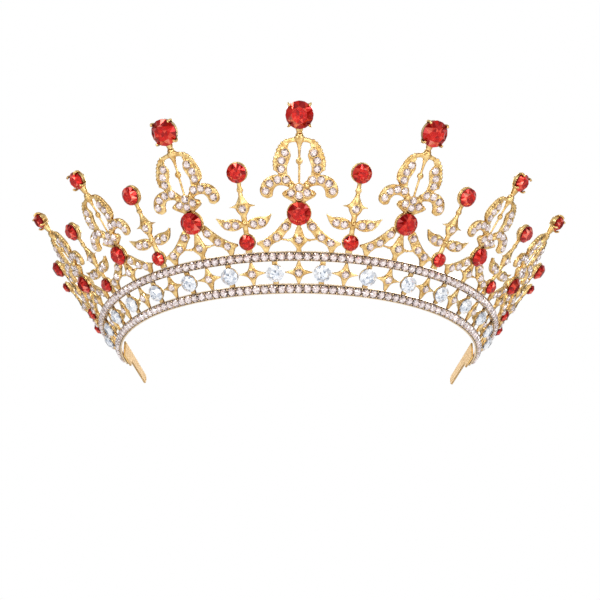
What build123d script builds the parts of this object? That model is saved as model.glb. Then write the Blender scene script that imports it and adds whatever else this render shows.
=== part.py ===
"""Crown (tiara): a flared, open-backed hair ornament built from gilt castings soldered between two rails,
with glass stones set in cups.

Every piece lies on one flared surface. Its foot is a circle round the front and a wider circle round
each side. A place on it is (unit, height): units run round the band from the front centre, positive
towards +X, and heights are millimetres up the slope from the middle of the lower rail.
A flat casting lies on the tangent plane at its own unit; there x runs round, y up the slope and z out of
it, and its front face is at z = 0.
The origin is the centre of the front circle, on the plane that the crown stands on. The front faces -Y.
"""

import os
from bisect import bisect
from math import copysign, cos, degrees, radians, sin, sqrt

from build123d import *

# ---------------------------------------------------------------- driving dimensions, in millimetres
BAND_RADIUS = 68.6  # of the outer face round the front, at the middle of the lower rail
SIDE_RADIUS = 81.7  # and round the sides, which are straighter
FRONT_ARC = 51.57  # degrees from the front centre to where the sides start
FLARE = 38.92  # degrees that the band leans out
UNIT = 14.65  # along the lower rail, from one finial to the next
BAND_END = 8.45  # units from the front centre to each end of the rails
RAIL_HALF = 1.55  # half the height of a rail, up the slope
RAIL_THICK = 1.2
UPPER_RAIL = 11.0  # height of the upper rail's middle
PLATE = 1.3  # thickness of the castings
HEAD_INSET = 1.5  # from the outer face in to the wall that rests round the head
SOLDER = 0.02  # gap between neighbouring pieces

SMALL_CRYSTAL = 2.5  # diameters of the stones
RAIL_CRYSTAL = 2.6
BAND_CRYSTAL = 5.8
TOP_RUBIES = [8.8, 8.7, 6.3, 6.0]  # by how many fleurs from the centre
ARCH_RUBIES = [7.6, 7.5, 6.9, 7.2]
BUD_TOP_RUBIES = [6.4, 6.4, 6.5, 6.7]  # by how many buds from the centre
BUD_BASE_RUBIES = [5.2, 4.9, 5.3, 4.9]
END_TOP_RUBY = 4.4
END_BASE_RUBY = 4.6
CRYSTAL_PITCH = 2.83  # along a rail

LIS_BASES = [24.3, 24.2, 21.7, 22.5]  # heights of the fleurs' feet, by how many from the centre
LIS_SCALES = [1.0, 0.975, 0.94, 0.955]
ARCH_RUBY = 1.0  # the arch ruby's height above the foot of the fleur
LIS_TOP = 32.2  # and the top ruby's, at scale 1
BUD_FOOT = 15.9  # heights of a bud's foot and its two rubies
BUD_BASE = 16.4
BUD_TOP = 39.3
END_FOOT = 14.6  # and of an end finial's
END_BASE = 15.2
END_TOP = 38.3
END_UNIT = 7.95

SEAT_DEPTH = 0.45  # of a small crystal's pocket
PLAY = 0.05  # round a stone in its seat
GIRDLE = 0.5  # of a gem
CROWN = 0.2  # of a gem, as a share of its diameter
PAVILION = 0.36
CULET = 0.12  # as a share of its radius
LIP = 0.35  # from a gem's girdle down to the lip of its cup
CUP_WALL = 0.3
CUP_FLOOR = 0.45
COLLAR = 0.5  # width of a casting's ring round a cup
PRONG = 0.42  # radius

TAB_THICK = 0.8
TAB_LAP = 12.0  # length soldered inside the band
TAB_HEIGHT = 6.0
TAB_STEP = 15.0  # length of the full height
TAB_TIP = 3.85  # height of the narrow part
TAB_LENGTH = 50.5
LOOP_HOLE = 0.7  # radius

SLOPE_OUT = sin(radians(FLARE))
SLOPE_UP = cos(radians(FLARE))
RISE = RAIL_HALF * SLOPE_UP  # so that the lower rail's outer edge is at z = 0
STAR_ROW = UPPER_RAIL / 2
HALF_GAP = STAR_ROW - RAIL_HALF - SOLDER  # from the star row to either rail
RAIL_TOP = UPPER_RAIL + RAIL_HALF + SOLDER
SIDES = {-1: "left", 1: "right"}


# ---------------------------------------------------------------- places on the flared surface
def circle_at(unit):
    """The circle that the band follows at a unit: its centre, its radius and the angle round it."""
    turn = abs(unit) * UNIT / BAND_RADIUS
    edge = radians(FRONT_ARC)
    if turn <= edge:
        return Vector(0, 0, 0), BAND_RADIUS, copysign(turn, unit)
    turn = edge + (turn - edge) * BAND_RADIUS / SIDE_RADIUS
    shift = SIDE_RADIUS - BAND_RADIUS
    centre = Vector(-copysign(shift * sin(edge), unit), shift * cos(edge), 0)
    return centre, SIDE_RADIUS, copysign(turn, unit)


def place(unit, height, out=0.0):
    """The point at a unit, a height up the slope and a distance out of it."""
    centre, radius, turn = circle_at(unit)
    radius += height * SLOPE_OUT + out * SLOPE_UP
    level = RISE + height * SLOPE_UP - out * SLOPE_OUT
    return centre + Vector(radius * sin(turn), -radius * cos(turn), level)


def tangent(unit, height=0.0):
    """The tangent plane there."""
    turn = circle_at(unit)[2]
    normal = (sin(turn) * SLOPE_UP, -cos(turn) * SLOPE_UP, -SLOPE_OUT)
    return Plane(origin=place(unit, height), x_dir=(cos(turn), sin(turn), 0), z_dir=normal)


def section(height, out=0.0):
    """A point of the band's section: its distance out from the lower rail's middle, and its level."""
    return (height * SLOPE_OUT + out * SLOPE_UP, RISE + height * SLOPE_UP - out * SLOPE_OUT)


def rail_edge(x, radius=SIDE_RADIUS):
    """The y, on a tangent plane, of the upper rail's top edge at x, where the band has that radius."""
    reach = radius / SLOPE_OUT + RAIL_TOP
    return RAIL_TOP - reach + sqrt(reach**2 - x * x)


def name_of(kind, steps):
    return f"{kind}_centre" if steps == 0 else f"{kind}_{SIDES[1 if steps > 0 else -1]}_{abs(steps)}"


def save(pieces, name):
    """Write one node: a single piece, or a group of separate ones."""
    shape = Compound(list(pieces)) if isinstance(pieces, list) else pieces
    shape.label = name
    export_step(shape, f"parts/{name}.step")


# ---------------------------------------------------------------- stones and their cups
def crystal_stone(diameter):
    """A small flat-backed stone in its pocket: z = 0 is the face of the metal."""
    with BuildPart() as stone:
        with BuildSketch(Plane.XY.offset(-SEAT_DEPTH)):
            RegularPolygon(diameter / 2, 8)
        extrude(amount=SEAT_DEPTH + 0.1)
        extrude(stone.faces().sort_by(Axis.Z)[-1], amount=0.3 * diameter, taper=34)
    return stone.part


def gem(diameter, sides=12):
    """A pointed stone: its girdle starts at z = 0, with its crown above and its pavilion below."""
    radius = diameter / 2
    with BuildPart() as stone:
        with BuildSketch():
            RegularPolygon(radius, sides)
        extrude(amount=GIRDLE)
        with BuildSketch(Plane.XY.offset(GIRDLE)):
            RegularPolygon(radius, sides)
        with BuildSketch(Plane.XY.offset(GIRDLE + CROWN * diameter)):
            RegularPolygon(radius * 0.56, sides)
        loft()
        with BuildSketch():
            RegularPolygon(radius, sides)
        with BuildSketch(Plane.XY.offset(-PAVILION * diameter)):
            RegularPolygon(radius * CULET, sides)
        loft()
    return stone.part


def cup_profile(diameter):
    """The outer corners of a cup's wall, from its lip down, in its gem's frame."""
    radius, depth = diameter / 2, PAVILION * diameter
    wide = radius * (1 - (1 - CULET) * LIP / depth) + PLAY + CUP_WALL
    return [(wide, -LIP), (wide, -0.45 * depth), (radius * 0.62, -depth - PLAY - CUP_FLOOR)]


def cup(diameter):
    """The thin round cup under a gem, in the gem's own frame: a cone inside, closed below."""
    floor = -PAVILION * diameter - PLAY
    corners = cup_profile(diameter)
    lip = corners[0][0] - CUP_WALL
    with BuildPart() as holder:
        with BuildSketch(Plane.XZ):
            with BuildLine():
                Polyline(
                    (0, floor),
                    (diameter / 2 * CULET + PLAY, floor),
                    (lip, -LIP),
                    *corners,
                    (0, floor - CUP_FLOOR),
                    close=True,
                )
            make_face()
        revolve(axis=Axis.Z)
    return holder.part


def cup_hole(diameter):
    """The radius of the hole that a cup fills in a casting."""
    return cup_profile(diameter)[0][0] + SOLDER


def prong_setting(diameter):
    """A cup with four prongs at its corners, whose round tips hold the gem's crown."""
    radius = diameter / 2
    outside = radius + PRONG + PLAY
    inside = cup_profile(diameter)[0][0] - 0.15
    root = 0.2 * diameter
    standing = (Align.CENTER, Align.CENTER, Align.MIN)
    with BuildPart() as holder:
        add(cup(diameter))
        with PolarLocations(outside, 4, start_angle=45):
            with Locations((0, 0, -root)):
                Cylinder(PRONG, root + 1.2, align=standing)
        with PolarLocations((inside + outside) / 2, 4, start_angle=45):
            with Locations((0, 0, -root)):
                Box(outside - inside, 1.6 * PRONG, root - LIP, align=standing)
        with PolarLocations(radius + 0.3, 4, start_angle=45):
            with Locations((0, 0, 1.3)):
                Sphere(0.5)
        add(gem(diameter + 2 * SOLDER, 16), mode=Mode.SUBTRACT)
    return holder.part


# ---------------------------------------------------------------- rails
def rail_seats(height):
    """The tangent planes of the crystals along the rail at that height, evenly spaced from end to end."""
    reach = BAND_END - 0.08
    steps = [reach * i / 2000 for i in range(2001)]
    points = [place(step, height) for step in steps]
    run = [0.0]
    for one, other in zip(points, points[1:]):
        run.append(run[-1] + (other - one).length)
    count = round(2 * run[-1] / CRYSTAL_PITCH)
    wanted = [run[-1] * (2 * (i + 0.5) / count - 1) for i in range(count)]
    units = [copysign(steps[bisect(run, abs(want)) - 1], want) for want in wanted]
    return [tangent(unit, height) for unit in units]


def rail(corners, height):
    """A curved rail with that section and a round pocket for each crystal."""
    front = FRONT_ARC
    last = degrees(circle_at(BAND_END)[2])
    with BuildPart() as bar:
        for unit, start, end in ((0, -front, front), (8, front, last), (-8, -last, -front)):
            centre, radius, _ = circle_at(unit)
            turn = radians(start)
            outward, backward = (sin(turn), -cos(turn), 0), (-cos(turn), -sin(turn), 0)
            across = Plane(origin=centre, x_dir=outward, z_dir=backward)
            with BuildSketch(across):
                with BuildLine():
                    Polyline(*[(radius + x, y) for x, y in corners], close=True)
                make_face()
            revolve(axis=Axis(centre, (0, 0, 1)), revolution_arc=end - start)
        with Locations(*rail_seats(height)):
            Cylinder(RAIL_CRYSTAL / 2 + PLAY, 2 * (SEAT_DEPTH + SOLDER), mode=Mode.SUBTRACT)
    return bar.part


# ---------------------------------------------------------------- flat castings
def casting(drawing, seats=()):
    """A flat plate with its face at z = 0, and a pocket at each seat."""
    with BuildPart() as plate:
        with BuildSketch():
            add(drawing)
        extrude(amount=-PLATE)
        if seats:
            with BuildSketch():
                with Locations(*seats):
                    Circle(SMALL_CRYSTAL / 2 + PLAY)
            extrude(amount=-(SEAT_DEPTH + SOLDER), mode=Mode.SUBTRACT)
    return plate.part


def outline(points, *sharp):
    """A flat shape whose edge is one smooth curve through the points, then straight on through the rest."""
    with BuildSketch() as shape:
        with BuildLine():
            curve = Spline(*points)
            Polyline(curve @ 1, *sharp, curve @ 0)
        make_face()
    return shape.sketch


def mirrored(pairs):
    """The points, and the same on the other side of the middle."""
    return list(pairs) + [(-x, y) for x, y in pairs if x]


def star_drawing():
    """A four-pointed star with hollow sides round one crystal, and points that meet the rails."""
    reach = 4.6
    with BuildSketch() as drawing:
        with Locations((0, STAR_ROW)):
            Circle(1.75)
        with BuildLine():
            ThreePointArc((0.35, STAR_ROW + HALF_GAP), (1.3, STAR_ROW + 1.3), (reach, STAR_ROW + 0.12))
            Line((reach, STAR_ROW + 0.12), (reach, STAR_ROW - 0.12))
            ThreePointArc((reach, STAR_ROW - 0.12), (1.3, STAR_ROW - 1.3), (0.35, STAR_ROW - HALF_GAP))
            Polyline(
                (0.35, STAR_ROW - HALF_GAP),
                (-0.1, STAR_ROW - HALF_GAP),
                (-0.1, STAR_ROW + HALF_GAP),
                (0.35, STAR_ROW + HALF_GAP),
            )
        make_face()
        mirror(about=Plane.YZ)
    return drawing.sketch


BAND_LIFT = 0.3  # how far each kind of gem's girdle stands out of the castings' faces
TOP_LIFT = 0.35
ARCH_LIFT = 0.5
BUD_TOP_LIFT = 0.6
BUD_BASE_LIFT = 0.4


def band_cup():
    """The cup of a large band crystal, with a lug to each rail."""
    with BuildPart() as holder:
        with BuildSketch():
            Rectangle(1.8, 2 * HALF_GAP)
            Circle(cup_hole(BAND_CRYSTAL) - CUP_WALL, mode=Mode.SUBTRACT)
        extrude(amount=-1.0)
        with Locations((0, 0, BAND_LIFT)):
            add(cup(BAND_CRYSTAL))
    return holder.part


# ---------------------------------------------------------------- arches
ARM_CRYSTALS = [(4.35, 20.9), (7.2, 17.4), (10.2, 15.5)]
ARM_TIP = 12.9


def arch(size):
    """Two curved arms from a ruby down to the rail, with a kite between them, and the crystals' places."""
    drop = LIS_BASES[0] - LIS_BASES[size]
    radius = BAND_RADIUS if size < 2 else SIDE_RADIUS

    def low(x, y):
        return (x, y - drop * max(0.0, (y - 13.5) / 11))

    hole = cup_hole(ARCH_RUBIES[size])
    arm = [(2.0, 24.6), (4.2, 23.3), (6.0, 21.2), (8.3, 18.8), (10.7, 16.9), (ARM_TIP, 15.8)]
    under = [(9.0, 14.0), (6.7, 15.6), (5.4, 16.2), (4.4, 18.2), (2.9, 20.0), (1.4, 22.6)]
    kite = [(0.75, 22.4), (1.2, 19.6), (2.1, 17.5), (3.3, 16.7), (6.2, 16.9)]
    foot = [(ARM_TIP, 14.6), (12.0, 13.9), (11.0, rail_edge(11.0, radius)), (9.8, rail_edge(9.8, radius))]
    edge = rail_edge(0.9, radius)
    with BuildSketch() as drawing:
        add(outline([low(*point) for point in arm], *foot, *[low(*point) for point in under]))
        add(
            outline(
                [low(*point) for point in kite],
                low(6.2, 16.2),
                low(3.3, 15.8),
                (1.6, 14.5),
                (0.8, 13.4),
                (0.9, edge),
                (-0.1, edge),
                low(-0.1, 22.4),
            )
        )
        mirror(about=Plane.YZ)
        with Locations((0, LIS_BASES[size] + ARCH_RUBY)):
            Circle(hole + COLLAR)
            Circle(hole, mode=Mode.SUBTRACT)
    seats = mirrored([low(x, y) for x, y in ARM_CRYSTALS]) + [low(0, 16.5)]
    return casting(drawing.sketch, seats), seats


# ---------------------------------------------------------------- fleur finials
PETAL_CRYSTALS = [(4.5, 20.4), (5.6, 17.9), (5.7, 15.3)]
CURL_CRYSTALS = [(4.2, 11.8), (6.9, 11.8), (9.4, 10.6), (10.6, 8.2)]
KNOT_CRYSTALS = [(0, 9.3), (2.55, 7.6), (0, 6.65)]


def fleur_drawing():
    """A fleur-de-lis with open petals, drawn up from its foot."""
    petal = [(0, 25.4), (2.6, 25.1), (4.9, 24.2), (6.6, 22.4), (7.8, 20.0), (8.7, 17.3), (8.3, 15.0)]
    petal_foot = (6.4, 13.2)
    inside = [(3.0, 11.6), (3.9, 13.6), (4.1, 15.8), (3.3, 18.2), (2.9, 19.8), (3.9, 21.6), (3.5, 23.0)]
    curl = [(1, 9.8), (2.9, 12.2), (5.2, 13.4), (8.4, 13.4), (11.4, 11.7), (12.7, 8.6), (11.9, 6.4)]
    under = [(10.0, 5.6), (8.4, 6.3), (8.1, 8.6), (6.6, 10.0), (4.0, 9.6), (2.4, 8.0), (1.0, 8.0)]
    knot = [(0, 10.4), (1.6, 10.0), (3.2, 8.8), (5.1, 7.9), (5.3, 6.5), (3.8, 5.4), (2.0, 4.4)]
    with BuildSketch() as drawing:
        add(outline(petal, petal_foot, *inside, (2.2, 23.7), (0, 23.7)))
        add(outline(curl, *under))
        add(outline(knot, (1.6, 2.0), (0, 2.0)))
        add(outline([(1.8, 24.6), (0.9, 22.6), (0.5, 20.6), (0.4, 17.6)], (0.4, 9.5), (0, 9.5), (0, 24.6)))
        with Locations((0, 17.7)):
            Circle(1.0)
        add(outline([(1.5, 24.8), (1.0, 25.9), (1.2, 27.4), (1.6, 30.0)], (0, 30.0), (0, 24.8)))
        mirror(about=Plane.YZ)
    return drawing.sketch


def fleur(size, drawing):
    """A fleur finial of that size, its crystals' places and its top ruby's."""
    factor, foot = LIS_SCALES[size], LIS_BASES[size]
    top = (0, foot + LIS_TOP * factor)
    with BuildSketch() as shape:
        with Locations((0, foot)):
            add(scale(drawing, factor, mode=Mode.PRIVATE))
        with Locations((0, foot + ARCH_RUBY)):
            Circle(cup_hole(ARCH_RUBIES[size]) + COLLAR + SOLDER, mode=Mode.SUBTRACT)
        with Locations(top):
            Circle(cup_hole(TOP_RUBIES[size]), mode=Mode.SUBTRACT)
    places = mirrored(PETAL_CRYSTALS + CURL_CRYSTALS + KNOT_CRYSTALS)
    seats = [(x * factor, foot + y * factor) for x, y in places]
    return casting(shape.sketch, seats), seats, top


# ---------------------------------------------------------------- bud and end finials
BUD_STAR = (0, 11.6)
LEAF_CRYSTALS = [(3.0, 6.3), (5.8, 6.6)]
BUD_SEATS = [(x, BUD_FOOT + y) for x, y in [BUD_STAR] + mirrored(LEAF_CRYSTALS)]


def stem_drawing(top):
    """Half the outline of a stem with its star, neck and beads, from the lower ruby to the upper one."""
    with BuildSketch() as drawing:
        add(
            outline(
                [(0.95, 1.5), (0.95, 8.5), (1.95, 10.5), (4.6, 11.9)],
                (2.1, 12.8),
                (1.3, 14.2),
                (0.8, 15.6),
                (0.75, 19.2),
                (1.2, top),
                (0, top),
                (0, 1.5),
            )
        )
        with Locations(BUD_STAR):
            Circle(1.95)
        with Locations((0, 17.7)):
            Circle(1.1)
        mirror(about=Plane.YZ)
    return drawing.sketch


def bud(size):
    """A bud finial with two pointed leaves."""
    base_hole = cup_hole(BUD_BASE_RUBIES[size])
    top_hole = cup_hole(BUD_TOP_RUBIES[size])
    with BuildSketch() as drawing:
        with Locations((0, BUD_FOOT)):
            add(stem_drawing(BUD_TOP - BUD_FOOT))
            add(
                outline(
                    [(0, 6.7), (2.0, 8.0), (4.3, 8.5), (6.9, 8.4), (9.3, 9.0)],
                    (7.9, 6.4),
                    (6.3, 5.0),
                    (4.1, 4.4),
                    (2.1, 4.7),
                    (0, 5.6),
                )
            )
            mirror(about=Plane.YZ)
        with Locations((0, BUD_BASE)):
            Circle(base_hole + COLLAR)
        with Locations((0, BUD_TOP)):
            Circle(top_hole + COLLAR)
            Circle(top_hole, mode=Mode.SUBTRACT)
        with Locations((0, RAIL_TOP + 0.6)):
            Rectangle(2.0, 1.2)
        with Locations((0, BUD_BASE)):
            Circle(base_hole, mode=Mode.SUBTRACT)
    return casting(drawing.sketch, BUD_SEATS)


SCROLL_CRYSTALS = [(-9.6, 14.9), (-6.3, 14.6)]


def end_finial():
    """The slim finial at the right end, the low scroll that ties it to the last bud, and crystal places."""
    base_hole = cup_hole(END_BASE_RUBY)
    top_hole = cup_hole(END_TOP_RUBY)
    bud_hole = cup_hole(BUD_BASE_RUBIES[3]) + COLLAR + 0.1
    last_bud = tangent(END_UNIT).to_local_coords(place(7, BUD_BASE))
    with BuildSketch() as drawing:
        with Locations((0, END_FOOT)):
            add(stem_drawing(END_TOP - END_FOOT))
        add(
            outline(
                [(-12.8, 15.2), (-9.6, 16.8), (-6.0, 16.2), (-2.0, 15.4)],
                (-1.0, 14.0),
                (-4.4, 13.3),
                (-5.6, rail_edge(5.6)),
                (-6.8, rail_edge(6.8)),
                (-8.0, 13.1),
                (-10.0, 13.3),
                (-12.8, 13.8),
            )
        )
        with Locations((last_bud.X, last_bud.Y)):
            Circle(bud_hole, mode=Mode.SUBTRACT)
        with Locations((0, END_BASE)):
            Circle(base_hole + 0.35)
            Circle(base_hole, mode=Mode.SUBTRACT)
        with Locations((0, END_TOP)):
            Circle(top_hole + COLLAR)
            Circle(top_hole, mode=Mode.SUBTRACT)
    seats = [(0, END_FOOT + BUD_STAR[1])] + SCROLL_CRYSTALS
    return casting(drawing.sketch, seats), seats


def end_tab(side):
    """A straight upright tab, lapped inside the band's end, with a hole at its tip for a pin or ribbon."""
    inset = -(HEAD_INSET + SOLDER)
    ends = []
    for unit in (BAND_END - TAB_LAP / UNIT, BAND_END):
        centre, radius, turn = circle_at(side * unit)
        ends.append(centre + Vector(sin(turn), -cos(turn), 0) * (radius + inset))
    first, last = ends
    along = (last - first).normalized()
    wall = Plane(origin=first, x_dir=along, z_dir=along.cross(Vector(0, 0, 1)))
    low = TAB_HEIGHT - TAB_TIP
    middle = TAB_HEIGHT - TAB_TIP / 2
    straight = TAB_LENGTH - TAB_TIP / 2
    with BuildPart() as tab:
        with BuildSketch(wall):
            with BuildLine():
                Polyline((straight, TAB_HEIGHT), (0, TAB_HEIGHT), (0, 0), (TAB_STEP, 0), (TAB_STEP, low))
                Line((TAB_STEP, low), (straight, low))
                ThreePointArc((straight, low), (TAB_LENGTH, middle), (straight, TAB_HEIGHT))
            make_face()
            with Locations((straight, middle)):
                Circle(LOOP_HOLE, mode=Mode.SUBTRACT)
        extrude(amount=-side * TAB_THICK)
    return tab.part


# ---------------------------------------------------------------- build and write every piece
os.makedirs("parts", exist_ok=True)

HEAD_TURN = (RAIL_THICK * SLOPE_UP - HEAD_INSET) / SLOPE_OUT  # height where the back turns upright
LOWER_CORNERS = [
    section(-RAIL_HALF),
    section(RAIL_HALF),
    section(RAIL_HALF, -RAIL_THICK),
    section(HEAD_TURN, -RAIL_THICK),
    (-HEAD_INSET, 0),
]
UPPER_CORNERS = [
    section(UPPER_RAIL - RAIL_HALF),
    section(UPPER_RAIL + RAIL_HALF),
    section(UPPER_RAIL + RAIL_HALF, -RAIL_THICK),
    section(UPPER_RAIL - RAIL_HALF, -RAIL_THICK),
]
crystal, rail_crystal = crystal_stone(SMALL_CRYSTAL), crystal_stone(RAIL_CRYSTAL)


def at(unit, pieces, spots=((0, 0),), lift=0.0):
    """Copies of a flat-drawn piece on the tangent plane at a unit, one at each spot of the plane."""
    plane = tangent(unit).location
    return [pieces.moved(plane * Location((x, y, lift))) for x, y in spots]


save(rail(LOWER_CORNERS, 0), "lower_rail")
save(rail(UPPER_CORNERS, UPPER_RAIL), "upper_rail")
save([rail_crystal.moved(plane.location) for plane in rail_seats(0)], "lower_rail_crystals")
save([rail_crystal.moved(plane.location) for plane in rail_seats(UPPER_RAIL)], "upper_rail_crystals")

star = casting(star_drawing(), [(0, STAR_ROW)])
star_units = range(-8, 9)
save([piece for unit in star_units for piece in at(unit, star)], "band_stars")
save([piece for unit in star_units for piece in at(unit, crystal, [(0, STAR_ROW)])], "band_star_crystals")

crystal_units = [step + 0.5 for step in range(-8, 8)]
holder, stone = band_cup(), gem(BAND_CRYSTAL)
save([piece for unit in crystal_units for piece in at(unit, holder, [(0, STAR_ROW)])], "band_crystal_cups")
save(
    [piece for unit in crystal_units for piece in at(unit, stone, [(0, STAR_ROW)], BAND_LIFT)],
    "band_large_crystals",
)

lis = fleur_drawing()
arch_designs = [arch(size) for size in range(4)]
fleur_designs = [fleur(size, lis) for size in range(4)]
arches, arch_crystals, arch_cups, arch_rubies = [], [], [], []
for steps in range(-3, 4):
    size, unit = abs(steps), 2 * steps
    plate, seats = arch_designs[size]
    spot = [(0, LIS_BASES[size] + ARCH_RUBY)]
    arches += at(unit, plate)
    arch_crystals += at(unit, crystal, seats)
    arch_cups += at(unit, cup(ARCH_RUBIES[size]), spot, ARCH_LIFT)
    arch_rubies += at(unit, gem(ARCH_RUBIES[size]), spot, ARCH_LIFT)

    plate, seats, top = fleur_designs[size]
    save(at(unit, plate)[0], name_of("fleur", steps))
    save(at(unit, crystal, seats), name_of("fleur_crystals", steps))
    save(at(unit, prong_setting(TOP_RUBIES[size]), [top], TOP_LIFT)[0], name_of("top_setting", steps))
    save(at(unit, gem(TOP_RUBIES[size], 16), [top], TOP_LIFT)[0], name_of("top_ruby", steps))
save(arches, "arches")
save(arch_crystals, "arch_crystals")
save(arch_cups, "arch_ruby_cups")
save(arch_rubies, "arch_rubies")

bud_designs = [bud(size) for size in range(4)]
bud_units = {number: 2 * number - copysign(1, number) for number in (-4, -3, -2, -1, 1, 2, 3, 4)}
bud_crystals = []
bud_gems = {
    "top": (BUD_TOP_RUBIES, BUD_TOP, BUD_TOP_LIFT),
    "base": (BUD_BASE_RUBIES, BUD_BASE, BUD_BASE_LIFT),
}
bud_cups, bud_rubies = {"top": [], "base": []}, {"top": [], "base": []}
for number, unit in bud_units.items():
    size = abs(number) - 1
    save(at(unit, bud_designs[size])[0], name_of("bud", number))
    bud_crystals += at(unit, crystal, BUD_SEATS)
    for where, (sizes, height, lift) in bud_gems.items():
        bud_cups[where] += at(unit, cup(sizes[size]), [(0, height)], lift)
        bud_rubies[where] += at(unit, gem(sizes[size]), [(0, height)], lift)
save(bud_crystals, "bud_crystals")
for where in bud_gems:
    save(bud_cups[where], f"bud_{where}_cups")
    save(bud_rubies[where], f"bud_{where}_rubies")

plate, seats = end_finial()
end_crystals, end_cups, end_rubies = [], [], []
for side, word in SIDES.items():
    unit = side * END_UNIT
    whole = plate if side > 0 else plate.mirror(Plane.YZ)
    save(at(unit, whole)[0], f"end_finial_{word}")
    end_crystals += at(unit, crystal, [(side * x, y) for x, y in seats])
    for diameter, height in ((END_BASE_RUBY, END_BASE), (END_TOP_RUBY, END_TOP)):
        end_cups += at(unit, cup(diameter), [(0, height)], BUD_BASE_LIFT)
        end_rubies += at(unit, gem(diameter), [(0, height)], BUD_BASE_LIFT)
    save(end_tab(side), f"end_tab_{word}")
save(end_crystals, "end_finial_crystals")
save(end_cups, "end_finial_cups")
save(end_rubies, "end_finial_rubies")
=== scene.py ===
"""Looks for the crown: every casting, rail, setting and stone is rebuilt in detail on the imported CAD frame.

Shapes are drawn flat in millimetres (x round the band, y up the slope, z out of it) and carried to their
places on the flared surface that the CAD model uses.
"""

import math
import random

import bpy
import numpy as np
from mathutils import Matrix, Vector


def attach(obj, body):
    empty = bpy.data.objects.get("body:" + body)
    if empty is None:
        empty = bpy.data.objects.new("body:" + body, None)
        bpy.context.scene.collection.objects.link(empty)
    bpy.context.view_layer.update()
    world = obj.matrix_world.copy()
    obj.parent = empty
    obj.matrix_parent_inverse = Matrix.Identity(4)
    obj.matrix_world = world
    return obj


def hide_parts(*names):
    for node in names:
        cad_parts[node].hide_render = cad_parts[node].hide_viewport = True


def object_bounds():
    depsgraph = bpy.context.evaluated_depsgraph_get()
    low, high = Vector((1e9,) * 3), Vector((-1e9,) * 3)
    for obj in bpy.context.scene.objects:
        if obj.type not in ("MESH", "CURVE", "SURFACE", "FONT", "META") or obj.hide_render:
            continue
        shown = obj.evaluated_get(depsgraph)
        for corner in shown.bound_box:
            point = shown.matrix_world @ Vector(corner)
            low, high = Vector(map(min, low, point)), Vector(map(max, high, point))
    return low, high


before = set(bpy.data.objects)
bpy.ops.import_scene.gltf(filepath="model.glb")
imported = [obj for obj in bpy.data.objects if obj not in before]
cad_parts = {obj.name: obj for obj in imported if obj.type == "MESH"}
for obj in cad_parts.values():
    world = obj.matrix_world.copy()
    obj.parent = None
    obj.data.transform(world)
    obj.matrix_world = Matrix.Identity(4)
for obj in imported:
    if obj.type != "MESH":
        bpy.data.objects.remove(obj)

cad_low, cad_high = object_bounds()

# ------------------------------------------------------------------ the crown's own dimensions, millimetres
# the band: two tangent arcs on a flared surface. A unit is half the way between neighbouring fleurs
BAND_RADIUS = 68.6
SIDE_RADIUS = 81.7
FRONT_ARC = math.radians(51.57)
FLARE = math.radians(38.92)
UNIT = 14.65
BAND_END = 8.45
RAIL_HALF = 1.55
UPPER_RAIL = 11.0
HEAD_INSET = 1.5
RAIL_THICK = 1.2
STAR_ROW = UPPER_RAIL / 2
# the stones' diameters. Each list runs from the centre of the crown outward
CRYSTAL_PITCH = 2.83
SMALL_CRYSTAL = 2.5
RAIL_CRYSTAL = 2.6
BAND_CRYSTAL = 5.8
TOP_RUBIES = [8.8, 8.7, 6.3, 6.0]
ARCH_RUBIES = [7.6, 7.5, 6.9, 7.2]
BUD_TOP_RUBIES = [6.4, 6.4, 6.5, 6.7]
BUD_BASE_RUBIES = [5.2, 4.9, 5.3, 4.9]
END_TOP_RUBY, END_BASE_RUBY = 4.4, 4.6
# the castings' heights up the slope, and the fleurs' scales, from the centre outward
LIS_BASES = [24.3, 24.2, 21.7, 22.5]
LIS_SCALES = [1.0, 0.975, 0.94, 0.955]
ARCH_RUBY, LIS_TOP = 1.0, 32.2
BUD_FOOT, BUD_BASE, BUD_TOP = 15.9, 16.4, 39.3
END_FOOT, END_BASE, END_TOP, END_UNIT = 14.6, 15.2, 38.3, 7.95
# how far the large stones stand out of the castings, and the proportions of a stone and its cup
BAND_LIFT, TOP_LIFT, ARCH_LIFT, BUD_TOP_LIFT, BUD_BASE_LIFT = 0.3, 0.35, 0.5, 0.6, 0.4
GIRDLE, CROWN, PAVILION, CULET, LIP = 0.5, 0.2, 0.36, 0.12, 0.35
# the end tabs
TAB_THICK, TAB_LAP, TAB_HEIGHT, TAB_STEP, TAB_TIP, TAB_LENGTH = 0.8, 12.0, 6.0, 15.0, 3.85, 50.5
LOOP_HOLE = 0.7
SIDES = {-1: "left", 1: "right"}
SLOPE_OUT, SLOPE_UP = math.sin(FLARE), math.cos(FLARE)
RISE = RAIL_HALF * SLOPE_UP
MM = 0.001


def circle_at(unit):
    """The circle that the band follows at a unit: centre x, centre y, radius and the angle round it."""
    turn = abs(unit) * UNIT / BAND_RADIUS
    if turn <= FRONT_ARC:
        return 0.0, 0.0, BAND_RADIUS, math.copysign(turn, unit)
    turn = FRONT_ARC + (turn - FRONT_ARC) * BAND_RADIUS / SIDE_RADIUS
    shift = SIDE_RADIUS - BAND_RADIUS
    centre_x = -math.copysign(shift * math.sin(FRONT_ARC), unit)
    return centre_x, shift * math.cos(FRONT_ARC), SIDE_RADIUS, math.copysign(turn, unit)


def surface_point(unit, height, out=0.0):
    """A spot by the flared surface: units round the band, height up the slope, and distance out of it."""
    centre_x, centre_y, radius, turn = circle_at(unit)
    reach = radius + height * SLOPE_OUT + out * SLOPE_UP
    level = RISE + height * SLOPE_UP - out * SLOPE_OUT
    return (centre_x + reach * math.sin(turn), centre_y - reach * math.cos(turn), level)


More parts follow.
